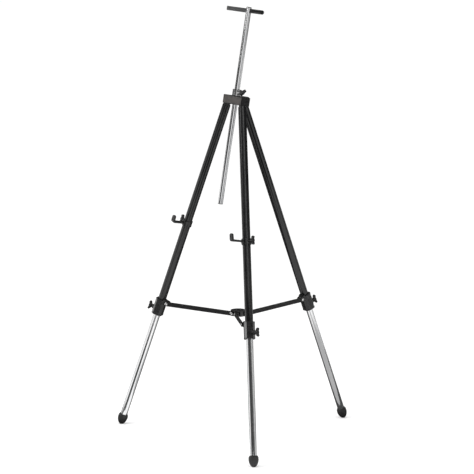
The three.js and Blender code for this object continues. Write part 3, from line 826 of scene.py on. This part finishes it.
def hook_band(side):
    """Band round the leg with rolled edges, a slotted pad for the arm and a screw boss."""
    profile = [(UPPER_RADIUS + GAP, -BAND_HALF + 0.4), (UPPER_RADIUS + GAP + 0.4, -BAND_HALF)]
    profile += [(BAND_RADIUS - 0.5, -BAND_HALF), (BAND_RADIUS, -BAND_HALF + 0.6)]
    profile += [(BAND_RADIUS, -BAND_HALF + 2), (BAND_RADIUS - 0.5, -BAND_HALF + 2.5)]
    profile += [(r, -z) for r, z in reversed(profile)]
    band = lathe(profile, 72, closed=True)
    pad = block(9, BAND_RADIUS + 1, -HOOK_HALF_WIDTH, HOOK_HALF_WIDTH, -6, 6, 1.2, 1.0)
    boss_profile = [(0, 8), (8.2, 8), (7.6, 15), (6.5, 16.4), (6.5, BOSS_END - 0.8)]
    boss_profile += [(5.7, BOSS_END), (0, BOSS_END)]
    boss = moved(lathe(boss_profile, 48), ALONG_X)
    turn = Matrix.Rotation(side * math.pi / 2, 4, "Z")
    boss = moved(boss, turn)
    bore = shaft(UPPER_RADIUS + GAP, -20, 20, 0.1, 72)
    hole = drill(SCREW_HOLE, 5, 30, ALONG_X, turn)
    notch = block(BAND_RADIUS - 1.3, 30, -7.3, 7.3, -2.3, 2.3, 0.2, 0.2)
    return cut(fused(band, pad, boss), bore, hole, notch)


def build_hook(name):
    leg = leg_frame(name)
    up = up_of(leg)
    joint = JOINTS[f"hook_knob_turn_{name}"]
    side = -1 if name == "front_left" else 1
    outwards = (Vector(joint["axis"]) * side).cross(up)
    place_at = frame_of(joint["pos_m"], outwards, up)
    body = f"hook_{name}"
    place(f"canvas_hook_{name}", hook_arm(), place_at, body, PLASTIC)
    place(f"hook_band_{name}", hook_band(side), place_at, body, PLASTIC)
    add_knob("hook", f"_{name}", up, KNOB_REACH, UPPER_RADIUS + 0.5)


# Head and mast ------------------------------------------------------------------------


def mast_frame():
    up = Vector(JOINTS["mast_slide"]["axis"])
    knob_height = HEAD_TOP + GAP + COLLAR_KNOB
    origin = Vector(JOINTS["mast_knob_turn"]["pos_m"]) - up * knob_height * MM
    return frame_of(origin, (1, 0, 0), up)


def neck_pocket(name, to_head):
    """Cutters for a leg's neck over its whole swing, in the head's frame."""
    swing = math.radians(JOINTS[f"leg_fold_{name}"]["range_deg"][1])
    radius = NECK_RADIUS + 0.7
    profile = [(0, -40), (radius, -40), (radius, 0), *arc(0, 0, radius, 15, 75, 4), (0, radius)]
    shapes = []
    for step in range(4):
        shape = moved(lathe(profile, 28), Matrix.Rotation(swing * step / 3, 4, "Y"))
        shapes.append(moved(shape, to_head))
    return shapes


def head_block(place_at):
    """Head casting: a leaning bar with a recessed front, a rear box and top recesses."""
    plan = [(-HEAD_HALF, HEAD_FRONT), (HEAD_HALF, HEAD_FRONT)]
    plan += [(HEAD_HALF, HEAD_BACK), (-HEAD_HALF, HEAD_BACK)]
    bar = prism(rounded(plan, [5.5, 5.5, 2.5, 2.5], 7), HEAD_BOTTOM, HEAD_TOP, 1.8, 5)
    upright = place_at.inverted().to_3x3().to_4x4()
    rear_pivot = Vector(JOINTS["leg_fold_rear"]["pos_m"])
    centre = place_at.inverted() @ (rear_pivot - Vector((0, REAR_PIVOT_Y * MM, 0)))
    upright.translation = centre / MM
    rear = moved(block(-17, 17, 4, 31, -7, 13, 3.0, 2.0, 4), upright)
    body = fused(bar, rear)
    tools = [shaft(MAST_RADIUS + 0.5, -60, 60, 0.1, 64)]
    for name in LEG_NAMES:
        to_head = place_at.inverted() @ leg_frame(name)
        to_head.translation /= MM
        reach = PIN_HALF + GAP
        tools.append(drill(RIVET_HOLE, -reach, reach, ALONG_Y, to_head))
        tools += neck_pocket(name, to_head)
    recess = rounded([(-44, -7.0), (44, -7.0), (44, 14.0), (-44, 14.0)], 1.5, 4)
    recess = moved(prism(recess, 0, 4), STANDING)
    tools.append(moved(recess, local(y=HEAD_FRONT + 0.5)))
    for x in (-31, 31):
        for y in (-6.5, 3.0):
            slot = block(x - 11, x + 11, y, y + 6.0, HEAD_TOP - 1.2, HEAD_TOP + 3, 1.8, 0.3)
            tools.append(slot)
    return cut(body, *tools)


def pivot_pin():
    """Pin through a leg's neck, with rounded ends and a shallow centre mark."""
    half = PIN_HALF
    profile = [(0, -half + 0.5), (0.6, -half + 0.5), (1.0, -half), (RIVET_RADIUS - 0.7, -half)]
    profile += [(RIVET_RADIUS - 0.2, -half + 0.3), (RIVET_RADIUS, -half + 0.9)]
    profile += [(r, -z) for r, z in reversed(profile)]
    return moved(lathe(profile, 40), ALONG_Y)


def mast_collar():
    """Collar on the head: a ring with two turned grooves and a screw boss."""
    low = HEAD_TOP + GAP
    high = low + COLLAR_HEIGHT
    r = COLLAR_RADIUS
    profile = [(MAST_RADIUS + GAP, low), (r - 0.8, low), (r, low + 0.8), (r, low + 3.4)]
    profile += [(r - 0.9, low + 4.0), (r - 0.9, low + 4.8), (r - 0.3, low + 5.4)]
    profile += [(r - 0.3, high - 4.2), (r - 0.9, high - 3.6), (r - 0.9, high - 2.9)]
    profile += [(r, high - 2.3), (r, high - 0.9), (r - 0.9, high), (MAST_RADIUS + GAP + 0.6, high)]
    profile += [(MAST_RADIUS + GAP, high - 0.6)]
    collar = lathe(profile, 72, closed=True)
    boss_profile = [(0, 9.5), (BOSS_RADIUS + 0.8, 9.5), (BOSS_RADIUS, 14.5)]
    boss_profile += [(BOSS_RADIUS, BOSS_END - 0.8), (BOSS_RADIUS - 0.8, BOSS_END), (0, BOSS_END)]
    boss = moved(lathe(boss_profile, 48), ALONG_X)
    boss = moved(boss, local(z=low + COLLAR_KNOB))
    bore = shaft(MAST_RADIUS + GAP, 0, 60, 0.1, 64)
    hole = drill(SCREW_HOLE, 4, 30, ALONG_X, local(z=low + COLLAR_KNOB))
    return cut(fused(collar, boss), bore, hole)


def mast_plug():
    """End cap of the mast: a plug in its bore under a softly domed disc."""
    inner, outer = MAST_BORE - GAP, MAST_RADIUS
    profile = [(0, -9), (inner - 0.5, -9), (inner, -8.5), (inner, GAP)]
    profile += [(outer - 0.1, GAP), (outer, 0.6), (outer - 0.3, 1.2)]
    profile += [(outer - 1.4, 1.75), (outer - 3.5, 2.0), (0, 2.0)]
    return lathe(profile, 56)


def cross_bar():
    """Cross bar: a flat blade on the left and a rounded grip on the right of the mast."""
    half = BAR_HEIGHT / 2
    flat = [(BAR_FRONT, -half), (BAR_BACK, -half), (BAR_BACK, half), (BAR_FRONT, half)]
    flat = rounded(flat, [1.8, 2.5, 2.5, 1.8], 5)
    left = moved(prism(flat, BAR_LEFT, 10, 1.6, 4), ACROSS)
    middle = (BAR_FRONT + BAR_BACK) / 2
    depth = (BAR_BACK - BAR_FRONT) / 2
    turns = [2 * math.pi * i / 40 for i in range(40)]
    oval = [(middle + depth * math.cos(a), half * math.sin(a)) for a in turns]
    right = moved(prism(oval, 6, BAR_RIGHT, 2.0, 4), ACROSS)
    lift = local(z=SCREW_HEIGHT)
    bar = moved(fused(left, right), lift)
    notch = shaft(MAST_RADIUS + GAP, SCREW_HEIGHT - 30, SCREW_HEIGHT + 30, 0.1, 64)
    tools = [notch, drill(BAR_SCREW_HOLE, 0, 20, ALONG_Y, lift)]
    for x in (BAR_RIGHT - 6, BAR_RIGHT - 9):
        tools.append(moved(moved(groove_ring(oval, x), ACROSS), lift))
    return cut(bar, *tools)


def groove_ring(oval, at):
    """A thin ring cutter round an oval bar at a distance along it."""
    outer = inset(oval, -2.0)
    inner = inset(oval, 0.45)
    loops = []
    for points, z in ((outer, at - 0.5), (outer, at + 0.5), (inner, at + 0.3), (inner, at - 0.3)):
        loops.append([(x, y, z) for x, y in points])
    return skinned(loops, closed=True)


def pan_screw():
    """Cross-recessed screw that holds the cross bar, along Y from inside the mast."""
    top, inner, seat = BAR_BACK + 2.2, MAST_BORE + 0.5, BAR_BACK + GAP
    profile = [(0, inner), (1.6, inner), (2, MAST_BORE + 0.9), (2, seat), (4, seat)]
    profile += [(4, BAR_BACK + 0.8), (3.6, BAR_BACK + 1.6), (2.6, top - 0.1), (0, top)]
    screw = lathe(profile, 40)
    bars = [block(-2.1, 2.1, -0.4, 0.4, top - 1.1, top + 1, 0.1, 0.05)]
    bars.append(block(-0.4, 0.4, -2.1, 2.1, top - 1.1, top + 1, 0.1, 0.05))
    return moved(cut(screw, *bars), ALONG_Y)


def build_head():
    place_at = mast_frame()
    # Painted shade: the head's body is the darker, shaded copy of its plastic
    head = place("head_block", head_block(place_at), place_at, "head", SHADED_BLACK)
    # Painted light: the head's flat front is painted lighter, as its lit side
    refinish(head, place_at, (LIT_HEAD_FRONT, is_flat_front))
    for name in LEG_NAMES:
        place(f"pivot_pin_{name}", pivot_pin(), leg_frame(name), "head", STEEL)
    place("mast_collar", mast_collar(), place_at, "head", COLLAR)
    up = up_of(place_at)
    add_knob("mast", "", up, MAST_KNOB_REACH, MAST_RADIUS + 0.5, MAST_KNOB_TURN)
    pole = tube(MAST_RADIUS, MAST_BORE, MAST_BOTTOM, MAST_TOP, 0.3)
    pole = cut(pole, drill(BAR_SCREW_HOLE, 0, 20, ALONG_Y, local(z=SCREW_HEIGHT)))
    place("mast_tube", pole, place_at, "mast", CHROME)
    top = moved(mast_plug(), local(z=MAST_TOP))
    place("mast_top_cap", top, place_at, "mast", PLASTIC)
    bottom = moved(moved(mast_plug(), Matrix.Rotation(math.pi, 4, "X")), local(z=MAST_BOTTOM))
    place("mast_bottom_cap", bottom, place_at, "mast", PLASTIC)
    bar = place("cross_bar", cross_bar(), place_at, "mast", PLASTIC)
    # Painted light and shade: the blade's front is painted grey as lit, the round grip deep black
    # as shaded
    refinish(bar, place_at, (LIT_BLADE_FRONT, is_blade_front), (SHADED_BLACK, is_grip))
    screw = moved(pan_screw(), local(z=SCREW_HEIGHT))
    place("cross_bar_screw", screw, place_at, "mast", STEEL)


# Hub and braces -----------------------------------------------------------------------


def brace_frame(name):
    """Frame at a brace's hub pivot with X along the brace and Y on the hinge axis."""
    joint = JOINTS[f"brace_swing_{name}"]
    axis = Vector(joint["axis"])
    low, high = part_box(f"brace_rivet_{name}")
    reach = (low + high) / 2 - Vector(joint["pos_m"])
    reach -= axis * reach.dot(axis)
    place_at = frame_of(joint["pos_m"], reach, reach.cross(axis))
    return place_at, reach.length / MM


def strap(length):
    """Flat steel brace with round ends, soft edges and a pressed channel on each face."""
    outline = arc(0, 0, STRAP_HALF, 90, 270, 24) + arc(length, 0, STRAP_HALF, -90, 90, 24)
    half = STRAP_THICKNESS / 2
    bar = moved(prism(outline, -half, half, 0.6, 3), STANDING)
    tools = [drill(RIVET_HOLE, -9, 9, ALONG_Y, local(x=x)) for x in (0, length)]
    rail = rounded([(16, -2.6), (length - 16, -2.6), (length - 16, 2.6), (16, 2.6)], 2.4, 6)
    for low, high in ((half - 0.5, half + 1.0), (-half - 1.0, -half + 0.5)):
        tools.append(moved(prism(rail, low, high), STANDING))
    return cut(bar, *tools)


def domed_rivet(inner, side):
    """A rivet on Y with a domed head outside the strap and its shank towards the hub."""
    outer = STRAP_THICKNESS / 2 + GAP
    profile = [(0, inner), (RIVET_RADIUS - 0.4, inner), (RIVET_RADIUS, inner + 0.4)]
    profile += [(RIVET_RADIUS, outer), (RIVET_HEAD - 0.2, outer), (RIVET_HEAD, outer + 0.3)]
    for a in range(10, 90, 10):
        c, s = math.cos(math.radians(a)), math.sin(math.radians(a))
        profile.append((RIVET_HEAD * c, outer + 0.3 + 1.7 * s))
    profile += [(0, outer + 2.0)]
    made = moved(lathe(profile, 40), ALONG_Y)
    if side < 0:
        made = moved(made, Matrix.Rotation(math.pi, 4, "Z"))
    return made


def hub_frame():
    """Upright frame on the hub's axis, at the height of its pivots."""
    rear = JOINTS["leg_fold_rear"]["pos_m"]
    height = JOINTS["brace_swing_rear"]["pos_m"][2]
    origin = (rear[0], rear[1] - REAR_PIVOT_Y * MM, height)
    return frame_of(origin, (1, 0, 0), (0, 0, 1))


def brace_hub(place_at):
    """Hub with an arm beside each brace, under a round cover plate with a sunk middle."""
    core_radius, half = HUB_CORE, HUB_HALF
    profile = [(0, -half), (core_radius - 1.4, -half), (core_radius - 0.4, -half + 0.5)]
    profile += [(core_radius, -half + 1.5), (core_radius, half - 1.5)]
    profile += [(core_radius - 0.4, half - 0.5), (core_radius - 1.4, half)]
    profile += [(6.5, half), (6.0, half - 0.7), (0, half - 0.7)]
    core = lathe(profile, 56)
    rim = PLATE_RADIUS
    dish = [(0, PLATE_BOTTOM), (rim - 1.0, PLATE_BOTTOM), (rim - 0.3, PLATE_BOTTOM + 0.3)]
    dish += [(rim, PLATE_BOTTOM + 1.0), (rim, PLATE_TOP - 0.9), (rim - 0.3, PLATE_TOP - 0.3)]
    dish += [(rim - 1.0, PLATE_TOP), (rim - 3.2, PLATE_TOP), (rim - 3.9, PLATE_TOP - 0.9)]
    dish += [(9.0, PLATE_TOP - 0.9), (8.2, PLATE_TOP - 0.2), (6.8, PLATE_TOP - 0.2)]
    dish += [(6.0, PLATE_TOP - 1.1), (0, PLATE_TOP - 1.1)]
    plate = lathe(dish, 96)
    arms, holes = [], []
    for name in LEG_NAMES:
        joint = JOINTS[f"brace_swing_{name}"]
        axis = Vector(joint["axis"])
        pivot = (place_at.inverted() @ Vector(joint["pos_m"])) / MM
        along = axis.cross(Vector((0, 0, 1)))
        side = STRAP_SIDE[name]
        frame_at = frame_of((0, 0, 0), along, (0, 0, 1))
        offset = pivot.dot(axis)
        face = offset - side * (STRAP_THICKNESS / 2 + GAP)
        low, high = sorted((face, face - side * HUB_ARM))
        pin = HUB_PIN[name]
        outline = [(-4, HUB_HALF), (-4, -HUB_HALF), *arc(pin, 0, HUB_HALF, -90, 90, 24)]
        arm = prism(outline, low, high, 1.1, 3)
        arm = moved(moved(arm, STANDING), local(y=low + high))
        arms.append(moved(arm, frame_at))
        hole = drill(RIVET_HOLE, low - 1, high + 1, ALONG_Y, local(x=pin))
        holes.append(moved(hole, frame_at))
    return cut(fused(core, plate, *arms), *holes)


def build_spreader():
    place_at = hub_frame()
    place("brace_hub", brace_hub(place_at), place_at, "hub", PLASTIC)
    for name in LEG_NAMES:
        brace_at, length = brace_frame(name)
        body = f"brace_{name}"
        side = STRAP_SIDE[name]
        place(body, strap(length), brace_at, body, BRACE)
        outer = moved(domed_rivet(-STRAP_THICKNESS / 2, side), local(x=length))
        place(f"brace_rivet_{name}", outer, brace_at, body, STEEL)
        place(f"hub_rivet_{name}", domed_rivet(-7.0, side), brace_at, "hub", STEEL)


# Camera, floor and light --------------------------------------------------------------

CAMERA_AZIMUTH, CAMERA_ELEVATION = 53.54, 9.78
CAMERA_DISTANCE = 9.624
TARGET_OFFSET, TARGET_HEIGHT = 0.0015, 0.650
SENSOR_WIDTH, LENS_LENGTH = 36, 235.44304
SHIFT_X, SHIFT_Y = -0.00337553, -0.01202532
FLAG_DISTANCE, FLAG_CEILING = 3.0, 3.2
FLOOR_TONE, FLOOR_GLOW = 0.93, 0.09


def direction(azimuth_from_camera, elevation=0.0):
    """Unit vector at an angle to the camera's own side, positive to the camera's right."""
    a = math.radians(CAMERA_AZIMUTH) + math.radians(azimuth_from_camera)
    e = math.radians(elevation)
    return Vector((math.sin(a) * math.cos(e), -math.cos(a) * math.cos(e), math.sin(e)))


def flat_point(centre, right, toward, height):
    """A point at a distance to the camera's right and towards it, at a height."""
    point = centre + direction(90) * right + direction(0) * toward
    return Vector((point.x, point.y, height))


def aim_at(made, place_at, way, track):
    """Moves an object and turns its track axis, - or + Z, towards a direction."""
    made.location = place_at
    made.rotation_mode = "QUATERNION"
    made.rotation_quaternion = way.to_track_quat(track, "Y")


def flag(name, points, material):
    """A flat card that is seen only in reflections."""
    mesh = bpy.data.meshes.new(name)
    mesh.from_pydata(points, [], [tuple(range(len(points)))])
    mesh.materials.append(material)
    made = linked(name, mesh)
    made.visible_camera = False
    made.visible_diffuse = False
    made.visible_shadow = False
    return made


def flag_facing(name, centre, aim, width, height, material):
    """A flag of a width and height at centre, turned to face aim."""
    w, h = width / 2, height / 2
    made = flag(name, [(-w, -h, 0), (w, -h, 0), (w, h, 0), (-w, h, 0)], material)
    aim_at(made, centre, aim - centre, "Z")


def plain(name, tone, glow=0.0):
    """A plain matt grey for the floor and the flags."""
    material = bpy.data.materials.new(name)
    material.use_nodes = True
    shader = material.node_tree.nodes["Principled BSDF"]
    shader.inputs["Base Color"].default_value = (tone, tone, tone, 1)
    shader.inputs["Roughness"].default_value = 0.9
    shader.inputs["Emission Color"].default_value = (tone, tone, tone, 1)
    shader.inputs["Emission Strength"].default_value = glow
    return material


def build_floor():
    floor = bmesh.new()
    bmesh.ops.create_circle(floor, cap_ends=True, radius=60, segments=96)
    mesh = mesh_of("floor", floor)
    mesh.materials.append(plain("pale_floor", FLOOR_TONE, FLOOR_GLOW))
    ground = linked("floor", mesh)
    ground.location = (0, 0, -0.0002)


def build_flags(hub):
    """Grey cards round the easel, above it and on the floor, that its gloss reflects."""
    dark = plain("dark_flag", 0.05)
    middle = plain("middle_flag", 0.28)
    pale = plain("pale_flag", 0.45)
    for name, angle, width, low, high, material in (
        ("left", -41, 2.1, -1.8, 1.0, dark),
        ("left_middle", -41, 2.6, 1.0, 1.9, dark),
        ("left_high", -41, 2.1, 1.9, 3.2, dark),
        ("left_back", -100, 4.2, 1.12, 3.6, dark),
        ("front_high", 0, 2.2, 2.05, 3.2, pale),
        ("right_front", 33, 1.5, -1.8, 1.6, middle),
        ("right_middle", 62, 1.5, 0.7, 1.6, pale),
        ("right_high", 55, 3.2, 1.6, 3.2, dark),
        ("right_back", 113, 3.6, 0.7, 3.2, dark),
        ("right_low", 90, 3.4, -0.2, 0.7, pale),
        ("back_right", 156, 2.7, 0.3, 3.2, dark),
        ("back_left", -164, 1.8, -1.8, 3.2, dark),
    ):
        centre = flat_point(hub, 0, 0, (low + high) / 2)
        stand = centre + direction(angle) * FLAG_DISTANCE
        flag_facing(f"flag_{name}", stand, centre, width, high - low, material)
    near = flat_point(hub, 0.2, 0.75, 0.47)
    flag_facing("flag_near", near, near - direction(0), 0.74, 0.55, dark)
    above = flat_point(hub, 0, 0, FLAG_CEILING)
    flag_facing("flag_above", above, above - Vector((0, 0, 1)), 4.0, 4.0, dark)
    around = ((-0.22, -0.2), (-0.22, 0.04), (0.1, 0.06), (0.12, 0.4), (1.6, 0.4), (1.6, -0.2))
    left = ((-0.37, -0.05), (-0.34, 0.17), (-0.31, 0.5), (-0.25, 0.75), (-2.6, 1.6))
    left += ((-1.4, 0.4), (-0.7, 0.01))
    back = ((-0.3, -0.16), (0.27, -0.2), (0.5, -0.1), (3, -0.1), (3, -2.8), (-2, -2.8))
    back += ((-1.6, 0.12), (-0.5, -0.02))
    for name, corners, height, material in (
        ("around", around, 0.0004, pale),
        ("left", left, 0.0008, dark),
        ("back", back, 0.0006, dark),
    ):
        points = [flat_point(hub, x, y, height) for x, y in corners]
        flag(f"floor_flag_{name}", points, material)


def build_lamps(aim):
    for name, angle, lift, distance, size, power in (
        ("key", -75, 35, 3.6, 2.2, 60),
        ("fill", 35, 30, 4.0, 1.8, 30),
    ):
        light = bpy.data.lights.new(name, "AREA")
        light.energy = power
        light.size = size
        light.color = (1, 1, 1)
        lamp = linked(name, light)
        stand = aim + direction(angle, lift) * distance
        aim_at(lamp, stand, aim - stand, "-Z")
        lamp.visible_camera = False


def build_camera(hub):
    data = bpy.data.cameras.new("camera")
    camera = linked("camera", data)
    target = Vector((0, hub.y + TARGET_OFFSET, TARGET_HEIGHT))
    back = direction(0, CAMERA_ELEVATION)
    aim_at(camera, target + back * CAMERA_DISTANCE, -back, "-Z")
    data.sensor_width, data.lens = SENSOR_WIDTH, LENS_LENGTH
    data.shift_x, data.shift_y = SHIFT_X, SHIFT_Y
    data.clip_start, data.clip_end = 0.1, 200
    bpy.context.scene.camera = camera


def build_stage():
    scene = bpy.context.scene
    scene.view_settings.view_transform = "Standard"
    scene.world = bpy.data.worlds.new("studio")
    scene.world.use_nodes = True
    background = scene.world.node_tree.nodes["Background"]
    background.inputs["Color"].default_value = (1, 1, 1, 1)
    background.inputs["Strength"].default_value = 1.0
    hub = hub_frame().translation
    build_floor()
    build_flags(hub)
    build_lamps(Vector((hub.x, hub.y, TARGET_HEIGHT)))
    build_camera(hub)


build_stage()
build_head()
for leg_name in LEG_NAMES:
    build_leg(leg_name)
for leg_name in LEG_NAMES[:2]:
    build_hook(leg_name)
build_spreader()

# The hidden bushes stay as the CAD has them, in the same nylon
for node_name, node in frame["nodes"].items():
    if node_name.startswith("guide_bush"):
        keep_local(node.data)
        node.data.materials.clear()
        node.data.materials.append(PLASTIC)
